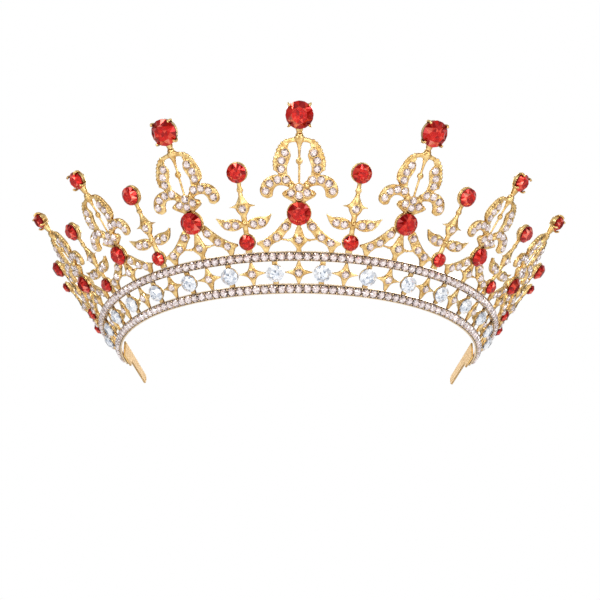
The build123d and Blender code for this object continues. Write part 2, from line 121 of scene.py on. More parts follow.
def tangent(unit, height=0.0, y=0.0, lift=0.0):
    """The matrix, in millimetres, of a spot on the tangent plane at a unit."""
    turn = circle_at(unit)[3]
    round_way = Vector((math.cos(turn), math.sin(turn), 0))
    outward = Vector((math.sin(turn) * SLOPE_UP, -math.cos(turn) * SLOPE_UP, -SLOPE_OUT))
    up = outward.cross(round_way)
    origin = Vector(surface_point(unit, height)) + up * y + outward * lift
    return Matrix([[round_way[i], up[i], outward[i], origin[i]] for i in range(3)] + [[0, 0, 0, 1]])


def seat_at(unit, y, lift=0.0):
    """The matrix of a stone's seat straight up the slope at a unit."""
    return tangent(unit, 0, y, lift)


# ------------------------------------------------------------------ mesh pieces: (points, faces, tones)
class Shape:
    """Points in millimetres, faces, and for stones a tone per face, of painted light and shade."""

    def __init__(self, points, faces, tones=None):
        self.points = np.array(points, dtype=float).reshape(-1, 3)
        self.faces = list(faces)
        self.tones = list(tones) if tones is not None else [0.5] * len(self.faces)

    def moved(self, matrix):
        """Carried by a matrix."""
        m = np.array(matrix)
        return Shape(self.points @ m[:3, :3].T + m[:3, 3], self.faces, self.tones)

    def at(self, x=0.0, y=0.0, z=0.0, turn=0.0, size=1.0):
        """Scaled and turned about its own origin, then shifted."""
        matrix = Matrix.Translation((x, y, z)) @ Matrix.Rotation(turn, 4, "Z") @ Matrix.Scale(size, 4)
        return self.moved(matrix)

    def flipped(self):
        """The mirror image across x = 0."""
        return Shape(self.points * (-1, 1, 1), [tuple(reversed(f)) for f in self.faces], self.tones)


def joined(shapes):
    """Several shapes as one."""
    points, faces, tones, base = [], [], [], 0
    for shape in shapes:
        points.append(shape.points)
        faces += [tuple(i + base for i in face) for face in shape.faces]
        tones += shape.tones
        base += len(shape.points)
    return Shape(np.vstack(points), faces, tones)


def both_sides(shapes):
    """Shapes together with their mirror images across x = 0."""
    return list(shapes) + [shape.flipped() for shape in shapes]


def lathe(profile, sides):
    """Turns (radius, z) points about z. The first and last are closed with flat caps."""
    points, faces = [], []
    for radius, z in profile:
        for i in range(sides):
            a = 2 * math.pi * i / sides
            points.append((radius * math.cos(a), radius * math.sin(a), z))
    for j in range(len(profile) - 1):
        for i in range(sides):
            k = (i + 1) % sides
            faces.append((j * sides + i, j * sides + k, (j + 1) * sides + k, (j + 1) * sides + i))
    faces.append(tuple(reversed(range(sides))))
    last = (len(profile) - 1) * sides
    faces.append(tuple(last + i for i in range(sides)))
    return Shape(points, faces)


def ring(radius, thick, tall):
    """A torus round z, whose section is thick across and tall along z."""
    sides, round_sides = 28, 10
    points, faces = [], []
    for i in range(sides):
        a = 2 * math.pi * i / sides
        for j in range(round_sides):
            b = 2 * math.pi * j / round_sides
            r = radius + thick * math.cos(b)
            points.append((r * math.cos(a), r * math.sin(a), tall * math.sin(b)))
    for i in range(sides):
        for j in range(round_sides):
            k, m = (i + 1) % sides, (j + 1) % round_sides
            here, there = i * round_sides, k * round_sides
            faces.append((here + j, there + j, there + m, here + m))
    return Shape(points, faces)


def ball(radius, x=0.0, y=0.0, z=0.0, wide=1.0, high=1.0, deep=1.0, sides=12):
    """An ellipsoid: wide, high and deep stretch it along x, y and z."""
    half = sides // 2
    profile = [(math.sin(math.pi * j / half), -math.cos(math.pi * j / half)) for j in range(1, half)]
    points = [(0, 0, -1)]
    for r, h in profile:
        for i in range(sides):
            a = 2 * math.pi * i / sides
            points.append((r * math.cos(a), r * math.sin(a), h))
    points.append((0, 0, 1))
    faces = []
    for i in range(sides):
        k = (i + 1) % sides
        faces.append((0, 1 + k, 1 + i))
        for j in range(len(profile) - 1):
            b = 1 + j * sides
            faces.append((b + i, b + k, b + sides + k, b + sides + i))
        b = 1 + (len(profile) - 1) * sides
        faces.append((b + i, b + k, len(points) - 1))
    shape = Shape(np.array(points) * (radius * wide, radius * high, radius * deep), faces)
    return shape.at(x, y, z)


def smooth_line(points, steps=6):
    """Catmull-Rom through the points."""
    pts = [np.array(p, dtype=float) for p in points]
    pts = [2 * pts[0] - pts[1]] + pts + [2 * pts[-1] - pts[-2]]
    line = []
    for i in range(1, len(pts) - 2):
        a, b, c, d = pts[i - 1 : i + 3]
        for s in range(steps):
            t = s / steps
            square = (2 * a - 5 * b + 4 * c - d) * t**2
            cube = (3 * b - a - 3 * c + d) * t**3
            line.append(0.5 * (2 * b + (c - a) * t + square + cube))
    line.append(pts[-2])
    return line


def tube(points, radii, sides=8, flat=1.0):
    """A round bar along a smooth line; radii follow the points. flat squeezes it along z."""
    path = smooth_line([tuple(p) + (0.0,) * (3 - len(p)) for p in points])
    widths = np.interp(np.linspace(0, 1, len(path)), np.linspace(0, 1, len(radii)), radii)
    verts, faces = [], []
    for i, p in enumerate(path):
        along = path[min(i + 1, len(path) - 1)] - path[max(i - 1, 0)]
        along /= np.linalg.norm(along)
        side = np.cross((0, 0, 1), along)
        side /= np.linalg.norm(side)
        over = np.cross(along, side)
        for j in range(sides):
            a = 2 * math.pi * j / sides
            verts.append(p + widths[i] * (math.cos(a) * side + flat * math.sin(a) * over))
    for i in range(len(path) - 1):
        for j in range(sides):
            k = (j + 1) % sides
            faces.append((i * sides + j, i * sides + k, (i + 1) * sides + k, (i + 1) * sides + j))
    faces.append(tuple(reversed(range(sides))))
    faces.append(tuple((len(path) - 1) * sides + j for j in range(sides)))
    return Shape(verts, faces)


def from_object(obj):
    """The shape of an object with its modifiers applied; the object is removed."""
    graph = bpy.context.evaluated_depsgraph_get()
    mesh = bpy.data.meshes.new_from_object(obj.evaluated_get(graph))
    points = np.empty(len(mesh.vertices) * 3)
    mesh.vertices.foreach_get("co", points)
    faces = [tuple(p.vertices) for p in mesh.polygons]
    data = obj.data
    bpy.data.objects.remove(obj)
    bpy.data.meshes.remove(mesh)
    (bpy.data.curves if isinstance(data, bpy.types.Curve) else bpy.data.meshes).remove(data)
    return Shape(points.reshape(-1, 3), faces)


def slab(loops, thick, edge):
    """A flat slab with rounded edges, centred on z = 0. After the outline, further loops are holes."""
    curve = bpy.data.curves.new("outline", "CURVE")
    curve.dimensions, curve.fill_mode = "2D", "BOTH"
    curve.extrude = thick / 2 - edge
    curve.bevel_depth, curve.bevel_resolution, curve.offset = edge, 2, -edge
    for loop in loops:
        spline = curve.splines.new("POLY")
        spline.points.add(len(loop) - 1)
        for point, p in zip(spline.points, loop):
            point.co = (p[0], p[1], 0, 1)
        spline.use_cyclic_u = True
    obj = bpy.data.objects.new("outline", curve)
    bpy.context.collection.objects.link(obj)
    return from_object(obj)


def plate(*runs, low=-1.15, high=0.05, edge=0.35):
    """A flat plate with rounded edges. Its outline is smooth along each run, with a corner between runs."""
    outline = []
    for run in runs:
        outline += smooth_line(run, 4) if len(run) > 2 else [np.array(p, dtype=float) for p in run]
    clean = [p for i, p in enumerate(outline) if np.linalg.norm(p - outline[i - 1]) > 0.02]
    edge = min(edge, (high - low) / 2 - 0.01)
    return slab([clean], high - low, edge).at(z=(low + high) / 2)


VOXEL, SOFTENING = 0.15, 3


def cast(shapes):
    """One casting out of overlapping shapes, with soft fillets where they meet."""
    whole = joined(shapes)
    mesh = bpy.data.meshes.new("casting")
    mesh.from_pydata(whole.points.tolist(), [], whole.faces)
    obj = bpy.data.objects.new("casting", mesh)
    bpy.context.collection.objects.link(obj)
    remesh = obj.modifiers.new("skin", "REMESH")
    remesh.mode, remesh.voxel_size = "VOXEL", VOXEL
    soften = obj.modifiers.new("soften", "SMOOTH")
    soften.factor, soften.iterations = 0.5, SOFTENING
    return from_object(obj)


# ------------------------------------------------------------------ stones
# for each kind of facet, its middle tone and how far a facet's own tone strays from it. The tones are painted
# reflections and painted shade on the facets; the dark rim and side facets of the small stones make a painted
# shadow round their edges
RUBY_PAINTED_LIGHT = {
    "table": (0.46, 0.20),
    "inner": (0.50, 0.30),
    "star": (0.70, 0.26),
    "kite": (0.62, 0.36),
    "rim": (0.44, 0.30),
    "side": (0.22, 0.10),
}
SMALL_PAINTED_LIGHT = {
    "table": (0.70, 0.30),
    "inner": (0.40, 0.40),
    "star": (0.86, 0.14),
    "kite": (0.56, 0.44),
    "rim": (0.26, 0.24),
    "side": (0.10, 0.08),
}
CLEAR_PAINTED_LIGHT = {
    "table": (0.58, 0.42),
    "inner": (0.45, 0.50),
    "star": (0.80, 0.20),
    "kite": (0.60, 0.40),
    "rim": (0.66, 0.34),
    "side": (0.35, 0.20),
}


# a stone's facets round it, and its table and star points as shares of its radius and crown
FACET_SIDES = 8
TABLE, STAR_REACH, STAR_HEIGHT = 0.56, 0.6472, 0.62


def facets(diameter, girdle, crown, low, seed, look):
    """A cut stone. Its girdle stands on z = 0, with a crown of star, kite and rim facets above and a cone of
    pavilion below. Its tones are light and dark patches painted on the facets: painted reflections and
    painted shade."""
    dice = random.Random(seed)
    sides, radius, top = FACET_SIDES, diameter / 2, girdle + crown

    def circle(r, z, shift, count=sides):
        angles = [2 * math.pi / count * (i + shift) for i in range(count)]
        return [(r * math.cos(a), r * math.sin(a), z) for a in angles]

    points = [(0, 0, top)]
    points += circle(radius * TABLE * 0.5, top, 0.5)
    points += circle(radius * TABLE, top, 0)
    points += circle(radius * STAR_REACH, girdle + crown * STAR_HEIGHT, 0.5)
    points += circle(radius, girdle, 0, 2 * sides)
    points += circle(radius, 0, 0, 2 * sides)
    points += circle(radius * CULET, -low, 0, 2 * sides)
    inner, corner, star = 1, 1 + sides, 1 + 2 * sides
    upper, under, tip = 1 + 3 * sides, 1 + 5 * sides, 1 + 7 * sides
    faces, tones = [], []

    def add(face, kind):
        base, spread = look[kind]
        faces.append(face)
        tones.append(max(0.0, min(1.0, base + dice.uniform(-spread, spread))))

    for i in range(sides):
        h, k = (i - 1) % sides, (i + 1) % sides
        add((0, inner + h, inner + i), "table")
        add((inner + h, corner + i, inner + i), "inner")
        add((inner + i, corner + i, corner + k), "table")
        add((corner + i, star + i, corner + k), "star")
        add((corner + i, star + h, upper + 2 * i, star + i), "kite")
        add((star + i, upper + 2 * i, upper + 2 * i + 1), "rim")
        add((star + i, upper + 2 * i + 1, upper + (2 * i + 2) % (2 * sides)), "rim")
    for j in range(2 * sides):
        k = (j + 1) % (2 * sides)
        faces += [(upper + j, under + j, under + k, upper + k), (under + j, tip + j, tip + k, under + k)]
        # the girdle and pavilion facets: painted light and shade alternating round the stone, darker on the
        # lower ring
        middle, spread = look["side"]
        shade = middle + (spread if j % 2 else -spread)
        tones += [shade, shade * 0.8]
    faces.append(tuple(reversed(range(tip, tip + 2 * sides))))
    tones.append(look["side"][0])
    return Shape(points, faces, tones)


# a few small stones of diameter 1, to be scaled. They fill their settings slightly past the CAD stones
CUTS = 6
SMALL_STONES = [facets(1.0, 0.08, 0.26, 0.12, seed, SMALL_PAINTED_LIGHT) for seed in range(CUTS)]
SMALL_SPREAD, SMALL_RAISE, TILT = 0.14, 0.06, 0.06


def small_stone(x, y, dice, diameter=SMALL_CRYSTAL):
    """A small stone with its own turn and a slight tilt."""
    stone = SMALL_STONES[dice.randrange(CUTS)]
    tilt_x, tilt_y = (Matrix.Rotation(dice.uniform(-TILT, TILT), 4, axis) for axis in "XY")
    turn = Matrix.Rotation(dice.uniform(0, 2 * math.pi), 4, "Z")
    size = Matrix.Scale(diameter + SMALL_SPREAD, 4)
    return stone.moved(Matrix.Translation((x, y, SMALL_RAISE)) @ tilt_x @ tilt_y @ turn @ size)


GEM_GAP = 0.04


def gem(diameter, seed, look=RUBY_PAINTED_LIGHT):
    """A large stone in the CAD stone's own envelope."""
    return facets(diameter - GEM_GAP, GIRDLE, CROWN * diameter, PAVILION * diameter, seed, look)


# ------------------------------------------------------------------ settings
def lip_radius(diameter):
    """The inner radius of a cup's lip."""
    return diameter / 2 * (1 - (1 - CULET) * LIP / (PAVILION * diameter)) + 0.05


def bowl(diameter, rim=0.24):
    """A thin cup with a rolled lip and a waist below it."""
    r, lip = diameter / 2, lip_radius(diameter)
    d = PAVILION * diameter + 0.05
    wide = lip + rim
    return lathe(
        [
            (0.15, 0.05 - d),
            (r * CULET + 0.06, 0.02 - d),
            (lip, -LIP),
            (lip + 0.04, -LIP + 0.1),
            (lip + rim * 0.55, -LIP + 0.14),
            (wide, -LIP),
            (wide, -0.3 * d - 0.1),
            (wide - 0.12, -0.36 * d - 0.1),
            (wide - 0.02, -0.43 * d - 0.1),
            (r * 0.8, -0.72 * d),
            (r * 0.64, -d - 0.28),
            (r * 0.54, -d - 0.40),
            (0.15, -d - 0.42),
        ],
        sides=36,
    )


def claw(angle, diameter):
    """One prong: a tapered claw up the side of the stone, bent in over its crown, with a rounded tip."""
    r, d = diameter / 2, PAVILION * diameter
    path = [
        (0.62 * r, -0.95 * d), (r + 0.10, -0.32 * d), (r + 0.44, 0.1), (r + 0.40, 0.8),
        (r + 0.02, 1.35)
    ]
    bar = tube([(x, z, 0) for x, z in path], [0.34, 0.44, 0.42, 0.40, 0.34], sides=12)
    upright = Matrix(((1, 0, 0, 0), (0, 0, -1, 0), (0, 1, 0, 0), (0, 0, 0, 1)))
    tip = ball(0.44, r + 0.02, 0, 1.3)
    return joined([bar.moved(upright), tip]).at(turn=angle)


def prong_setting(diameter):
    """A thin cup with four claws."""
    claws = [claw(math.radians(45 + 90 * i), diameter) for i in range(4)]
    return joined([bowl(diameter, 0.16)] + claws)


BEZEL_RADIUS = 1.44


def bezel(x, y):
    """A raised ring round a small stone."""
    return ring(BEZEL_RADIUS, 0.22, 0.34).at(x, y, 0.1)


def collar(x, y, diameter):
    """The casting's ring round a cup."""
    return ring(lip_radius(diameter) + 0.34, 0.26, 0.55).at(x, y, -0.5)


def stem(points, radii, z=-0.5, flat=0.85):
    """An upright turned part of a casting."""
    return tube([(x, y, z) for x, y in points], radii, sides=14, flat=flat)


# ------------------------------------------------------------------ castings
def across(line):
    """A line's mirror image across x = 0, run the other way."""
    return [(-x, y) for x, y in reversed(line)]


def lobes(line, radius, spacing, z):
    """A row of rounded scallops along a line."""
    path = smooth_line(line, 12)
    gone, out = 0.0, []
    for a, b in zip(path, path[1:]):
        gone += float(np.linalg.norm(b - a))
        if gone >= spacing:
            gone -= spacing
            out.append(ball(radius, b[0], b[1], z, deep=0.75))
    return out


# where a fleur's small stones sit, on one side and the middle line
PETAL_CRYSTALS = [(4.5, 20.4), (5.6, 17.9), (5.7, 15.3)]
CURL_CRYSTALS = [(4.2, 11.8), (6.9, 11.8), (9.4, 10.6), (10.6, 8.2)]
KNOT_CRYSTALS = [(0, 9.3), (2.55, 7.6), (0, 6.65)]


def fleur_casting():
    """An open fleur-de-lis: two petals, two curls, a knot with its skirt, and a stem up the middle."""
    outer = [
        (0, 25.3), (2.6, 25.0), (4.9, 24.1), (6.5, 22.4), (7.5, 20.2), (8.3, 17.6), (8.1, 15.3),
        (6.4, 13.4)
    ]
    inner = [
        (4.2, 12.6), (3.9, 13.6), (4.1, 15.8), (3.3, 18.2), (2.9, 19.8), (3.9, 21.6), (3.5, 23.0),
        (2.2, 23.6)
    ]
    curl = [
        (1.2, 10.4), (2.9, 12.1), (5.2, 13.2), (8.4, 13.2), (11.2, 11.6), (12.5, 8.6), (11.8, 6.5),
        (10.0, 5.7)
    ]
    under = [(10.0, 5.7), (8.5, 6.4), (8.1, 8.4), (6.8, 9.8), (4.2, 9.7), (2.6, 8.6)]
    knot = [(0, 10.6), (1.8, 10.1), (3.4, 8.8), (5.0, 8.0), (5.2, 6.6), (3.8, 5.6), (2.0, 4.6)]
    skirt = [(-1.7, 5.2), (-2.4, 3.6), (-3.0, 1.6)]
    petal_edge = [(3.2, 24.7), (5.0, 23.7), (6.4, 22.0), (7.2, 20.0), (7.9, 17.6), (7.7, 15.2)]
    curl_edge = [(4.6, 12.9), (8.2, 12.9), (10.9, 11.4), (12.1, 8.7), (11.6, 6.8), (10.2, 6.1)]
    half = [
        plate(outer, inner + [(0, 23.6)]),
        plate(curl, under),
        plate(knot, [(1.6, 2.6), (0, 2.6)]),
        ball(1.0, 2.5, 9.9, 0.1, sides=14),
        ball(0.95, 4.55, 7.3, -0.1, high=0.8, sides=14),
    ]
    half += lobes(petal_edge, 0.62, 1.25, -0.25)
    half += lobes(curl_edge, 0.42, 0.95, -0.2)
    half += [tube([(x, y, 0.05) for x, y in inner[1:7]], [0.26])]
    half += [bezel(x, y) for x, y in PETAL_CRYSTALS + CURL_CRYSTALS + KNOT_CRYSTALS if x]
    needle = [(0, 25.4), (0, 24.0), (0, 22.4), (0, 20.4), (0, 17.7), (0, 10.0)]
    middle = [
        stem(needle, [1.7, 1.5, 0.85, 0.5, 0.42, 0.42, 0.4]),
        ring(0.72, 0.42, 0.62).at(0, 17.7, -0.45),
        ball(0.55, 0, 17.7, 0.0),
        stem([(0, 24.8), (0, 25.9), (0, 26.8), (0, 28.0), (0, 30.5)], [1.5, 1.0, 0.95, 1.3, 1.9]),
        ring(1.0, 0.3, 0.5).moved(
            Matrix.Translation((0, 25.9, -0.5)) @ Matrix.Rotation(math.pi / 2, 4, "X")
        ),
        bezel(0, 9.3),
        bezel(0, 6.65),
        plate(skirt, [skirt[-1], across(skirt)[0]], across(skirt)),
    ]
    return cast(both_sides(half) + middle)


ARM_CRYSTALS = [(4.35, 20.9), (7.2, 17.4), (10.2, 15.5)]
KITE_CRYSTAL = (0, 16.5)
ARCH_BEND, ARCH_SPAN = 13.5, 11.0


def arch_spot(size, x, y):
    """A spot of an arch, brought down with the foot of its fleur. Below the bend all arches are alike."""
    drop = LIS_BASES[0] - LIS_BASES[size]
    return (x, y - drop * max(0.0, (y - ARCH_BEND) / ARCH_SPAN))


def arch_casting(size):
    """Two curved arms with a kite-shaped drop between them, and the ring for the stone on top."""

    def low(x, y):
        return arch_spot(size, x, y)

    top = [low(2.0, 24.6), low(4.2, 23.3), low(6.0, 21.2), low(8.3, 18.8), low(10.7, 16.9), low(13.6, 15.4)]
    under = [(13.6, 14.7), (12.3, 14.1), (11.1, 12.1)]
    foot = [
        (9.9, 12.1), (9.2, 14.0), low(8.0, 15.2), low(6.4, 16.0), low(5.2, 17.2), low(4.2, 18.6),
        low(2.6, 20.4)
    ]
    half = [plate(top, under, foot)]
    half += [tube([(x * 0.985, y - 0.15, 0.0) for x, y in top[1:]], [0.28, 0.28, 0.28, 0.2])]
    half += [bezel(*low(x, y)) for x, y in ARM_CRYSTALS]
    bridge = [low(x, y) + (-0.5,) for x, y in ((1.6, 16.9), (3.3, 16.4), (6.3, 16.7))]
    half += [tube(bridge, [0.6, 0.36, 0.3]), ball(0.5, *low(3.4, 16.3), -0.4)]
    kite = [low(0.0, 21.8), low(0.9, 20.4), low(1.5, 18.6), low(2.1, 17.2), low(3.0, 16.6)]
    tail = [low(3.0, 16.2), low(1.8, 14.9), (0.8, 13.6), (0.9, 12.2), (0, 12.2)]
    middle = [
        plate(kite, tail, across(tail), across(kite)),
        bezel(*low(*KITE_CRYSTAL)),
        stem([low(0, 21.8), low(0, 20.2), low(0, 18.6)], [0.8, 0.6, 0.4], z=-0.2),
        collar(0, LIS_BASES[size] + ARCH_RUBY, ARCH_RUBIES[size]),
    ]
    return cast(both_sides(half) + middle)


BUD_STAR = (0, 11.6)
LEAF_CRYSTALS = [(3.0, 6.3), (5.8, 6.6)]


def stem_parts(top):
    """A bud's stem with its star, neck and beads, drawn up from its foot."""
    star = [(-4.6, 12.2), (-2.6, 11.9), (-1.9, 10.6), (-0.95, 9.2)]
    crest = [(4.6, 12.2), (2.4, 13.0), (1.5, 14.2), (0.8, 15.6)]
    return [
        plate(
            star,
            [(0.95, 9.2), (1.9, 10.6), (2.6, 11.9), (4.6, 12.2)],
            crest,
            across(crest),
        ),
        bezel(*BUD_STAR),
        ring(1.75, 0.28, 0.5).at(0, BUD_STAR[1], -0.35),
        stem([(0, 1.4), (0, 4.0), (0, 7.0), (0, 9.6)], [0.95, 0.9, 0.9, 1.0], flat=0.75),
        ball(1.0, 0, 6.9, -0.2, high=0.7, sides=14),
        stem([(0, 13.4), (0, 15.2), (0, 16.6)], [1.3, 0.85, 0.75]),
        ring(0.72, 0.36, 0.55).at(0, 17.7, -0.45),
        ball(0.62, 0, 17.7, -0.3),
        stem([(0, 18.4), (0, 19.6), (0, top - 0.8)], [0.75, 0.7, 1.35]),
    ]


def bud_casting(size):
    """A bud: two leaves, a star on a turned stem, and rings for the stones at its foot and top."""
    leaf_top = [(0.6, 6.9), (2.0, 8.0), (4.3, 8.5), (6.9, 8.4), (9.3, 9.1)]
    leaf_low = [(9.3, 9.1), (7.9, 6.5), (6.3, 5.1), (4.1, 4.5), (2.1, 4.8), (0.6, 5.7)]
    half = [plate(leaf_top, leaf_low)]
    half += [bezel(x, y) for x, y in LEAF_CRYSTALS]
    half += [tube([(x, y - 0.2, 0.0) for x, y in leaf_top[1:]], [0.3, 0.3, 0.3, 0.16])]
    half += [tube([(x * 0.985, y + 0.25, 0.0) for x, y in leaf_low[:-1]], [0.16, 0.3, 0.3, 0.3])]
    drawn = both_sides(half) + stem_parts(BUD_TOP - BUD_FOOT)
    drawn = [shape.at(y=BUD_FOOT) for shape in drawn]
    drawn.append(collar(0, BUD_BASE, BUD_BASE_RUBIES[size]))
    drawn.append(collar(0, BUD_TOP, BUD_TOP_RUBIES[size]))
    drawn.append(plate([(-1.1, 12.7), (1.1, 12.7)], [(1.1, 15.0), (-1.1, 15.0)], edge=0.2))
    return cast(drawn)


SCROLL_CRYSTALS = [(-9.6, 14.9), (-6.3, 14.6)]


def end_casting():
    """The right-hand end finial: a bud's stem, with a low scroll towards the last bud."""
    drawn = [shape.at(y=END_FOOT) for shape in stem_parts(END_TOP - END_FOOT)]
    drawn.append(
        plate(
            [(-12.4, 15.0), (-9.6, 16.7), (-6.0, 16.1), (-2.0, 15.3)],
            [(-1.0, 14.0), (-4.4, 13.4), (-5.6, 12.2)],
            [(-6.8, 12.2), (-8.0, 13.2), (-10.0, 13.4), (-12.4, 14.0)],
        )
    )
    drawn += [bezel(x, y) for x, y in SCROLL_CRYSTALS]
    drawn.append(collar(0, END_BASE, END_BASE_RUBY))
    drawn.append(collar(0, END_TOP, END_TOP_RUBY))
    return cast(drawn)


def star_casting():
    """A four-pointed star that stands between the two rails."""
    gap = STAR_ROW - RAIL_HALF
    quarter = [(4.55, 0.1), (2.8, 0.55), (1.55, 1.2), (0.9, 2.3), (0.38, gap)]
    corners = [quarter, across(quarter)]
    corners += [[(x, -y) for x, y in reversed(run)] for run in reversed(corners)]
    parts = [
        plate(*corners, low=-1.1, high=0.0, edge=0.3),
        ball(1.0, 0, 0, -0.55, wide=1.75, high=1.75, deep=0.7, sides=20),
        bezel(0, 0),
    ]
    return cast([part.at(y=STAR_ROW) for part in parts])


# ------------------------------------------------------------------ rails
RAIL_MARGIN, RUN_STEPS, RAIL_STEPS = 0.08, 1600, 300


def rail_units(height):
    """The units of a rail's stones, spaced evenly along it at a height."""
    units = np.linspace(0, BAND_END - RAIL_MARGIN, RUN_STEPS)
    points = [Vector(surface_point(u, height)) for u in units]
    run = np.cumsum([0.0] + [(b - a).length for a, b in zip(points, points[1:])])
    total = run[-1]
    count = round(2 * total / CRYSTAL_PITCH)
    wanted = [total * (2 * (i + 0.5) / count - 1) for i in range(count)]
    return [math.copysign(float(np.interp(abs(w), run, units)), w) for w in wanted]


def swept(section):
    """Carries a closed section, given as (height, out) points, round the band."""
    points, faces = [], []
    n = len(section)
    for i in range(RAIL_STEPS + 1):
        unit = BAND_END * (2 * i / RAIL_STEPS - 1)
        points += [surface_point(unit, height, out) for height, out in section]
    for i in range(RAIL_STEPS):
        for j in range(n):
            k = (j + 1) % n
            faces.append((i * n + j, (i + 1) * n + j, (i + 1) * n + k, i * n + k))
    faces.append(tuple(range(n)))
    faces.append(tuple(reversed(range(RAIL_STEPS * n, RAIL_STEPS * n + n))))
    return Shape(points, faces)


def rounded(corners, radius):
    """Section corners cut to arcs."""
    steps, out = 3, []
    n = len(corners)
    for i in range(n):
        a, b, c = (np.array(corners[j % n], dtype=float) for j in (i - 1, i, i + 1))
        before, after = (a - b) / np.linalg.norm(a - b), (c - b) / np.linalg.norm(c - b)
        cut = min(radius, np.linalg.norm(a - b) / 2.1, np.linalg.norm(c - b) / 2.1)
        for s in range(steps + 1):
            t = s / steps
            p, q, r = b + before * cut, b, b + after * cut
            out.append(tuple((1 - t) ** 2 * p + 2 * t * (1 - t) * q + t**2 * r))
    return out


def rail_shape(height, back):
    """A channel: a floor, two raised edges, and a post and a pair of grains between the stones."""
    wall, floor_level, edge_level = 0.17, -0.5, 0.12
    low_edge, high_edge = height - RAIL_HALF, height + RAIL_HALF
    section = [
        (low_edge, -0.1),
        (low_edge, edge_level),
        (low_edge + wall, edge_level),
        (low_edge + wall, floor_level),
        (high_edge - wall, floor_level),
        (high_edge - wall, edge_level),
        (high_edge, edge_level),
        (high_edge, -0.1),
    ] + back
    parts = [swept(rounded(section, 0.1))]
    units = rail_units(height)
    for a, b in zip(units, units[1:]):
        for side in (-0.98, 0.98):
            grain = ball(0.36, 0, 0, 0.1, deep=1.2, sides=8)
            parts.append(grain.moved(tangent((a + b) / 2, height + side)))
        post = ball(0.3, 0, 0, -0.2, wide=0.5, high=3.0, deep=1.2, sides=8)
        parts.append(post.moved(tangent((a + b) / 2, height)))
    return joined(parts)


# the backs of the two rails' sections. The lower one turns upright where it rests on the head
LOWER_BACK = [
    (RAIL_HALF, -RAIL_THICK),
    ((RAIL_THICK * SLOPE_UP - HEAD_INSET) / SLOPE_OUT, -RAIL_THICK),
    (-HEAD_INSET * SLOPE_OUT - RISE * SLOPE_UP, -HEAD_INSET * SLOPE_UP + RISE * SLOPE_OUT),
]
UPPER_BACK = [(UPPER_RAIL + RAIL_HALF, -RAIL_THICK), (UPPER_RAIL - RAIL_HALF, -RAIL_THICK)]


# ------------------------------------------------------------------ end tabs
TAB_EDGE, TAB_GAP = 0.22, 0.02


def tab_shape(side):
    """A plain strip with softened edges, stepped to a narrow tip with a hole."""
    ends = []
    for unit in (BAND_END - TAB_LAP / UNIT, BAND_END):
        centre_x, centre_y, radius, turn = circle_at(side * unit)
        reach = radius - HEAD_INSET - TAB_GAP
        ends.append(Vector((centre_x + reach * math.sin(turn), centre_y - reach * math.cos(turn), 0)))
    along = (ends[1] - ends[0]).normalized()
    outward = along.cross(Vector((0, 0, 1))) * side
    low, middle, straight = TAB_HEIGHT - TAB_TIP, TAB_HEIGHT - TAB_TIP / 2, TAB_LENGTH - TAB_TIP / 2

    def spot(radius, angle):
        return (straight + radius * math.cos(angle), middle + radius * math.sin(angle))

    outline = [(0, TAB_HEIGHT), (0, 0), (TAB_STEP - 0.6, 0), (TAB_STEP, 0.5)]
    outline += [(TAB_STEP + 0.25, low - 0.3), (TAB_STEP + 0.7, low), (straight, low)]
    outline += [spot(TAB_TIP / 2, -math.pi / 2 + math.pi * i / 12) for i in range(1, 12)]
    outline += [(straight, TAB_HEIGHT)]
    hole = [spot(LOOP_HOLE, -2 * math.pi * i / 20) for i in range(20)]
    flat = slab([outline, hole], TAB_THICK, TAB_EDGE).at(z=-TAB_THICK / 2)
    if side < 0:
        flat = Shape(flat.points, [tuple(reversed(f)) for f in flat.faces])
    columns = [along, Vector((0, 0, 1)), outward]
    rows = [[column[i] for column in columns] + [ends[0][i]] for i in range(3)]
    return flat.moved(Matrix(rows + [[0, 0, 0, 1]]))


# ------------------------------------------------------------------ materials
def material(name, metallic, roughness):
    """A principled material, its node tree and its shader."""
    mat = bpy.data.materials.new(name)
    mat.use_nodes = True
    tree = mat.node_tree
    shader = tree.nodes["Principled BSDF"]
    shader.inputs["Metallic"].default_value = metallic
    shader.inputs["Roughness"].default_value = roughness
    return mat, tree, shader


def ramp(tree, source, stops):
    """Colours along a value, as (position, colour) stops."""
    node = tree.nodes.new("ShaderNodeValToRGB")
    while len(node.color_ramp.elements) < len(stops):
        node.color_ramp.elements.new(0.5)
    for element, (position, colour) in zip(node.color_ramp.elements, stops):
        element.position = position
        element.color = tuple(colour) + (1.0,)
    tree.links.new(source, node.inputs["Fac"])
    return node.outputs["Color"]


def noise(tree, scale, detail=3.0, rough=0.5):
    """Noise in the piece's own space. Its scale is in cells per metre."""
    coords = tree.nodes.new("ShaderNodeTexCoord")
    node = tree.nodes.new("ShaderNodeTexNoise")
    node.inputs["Scale"].default_value = scale
    node.inputs["Detail"].default_value = detail
    node.inputs["Roughness"].default_value = rough
    tree.links.new(coords.outputs["Object"], node.inputs["Vector"])
    return node.outputs["Fac"]


PATCHES, PITS = 650.0, 1900.0
SHADE_REACH, PIT_DEPTH = 0.0012, 0.0002


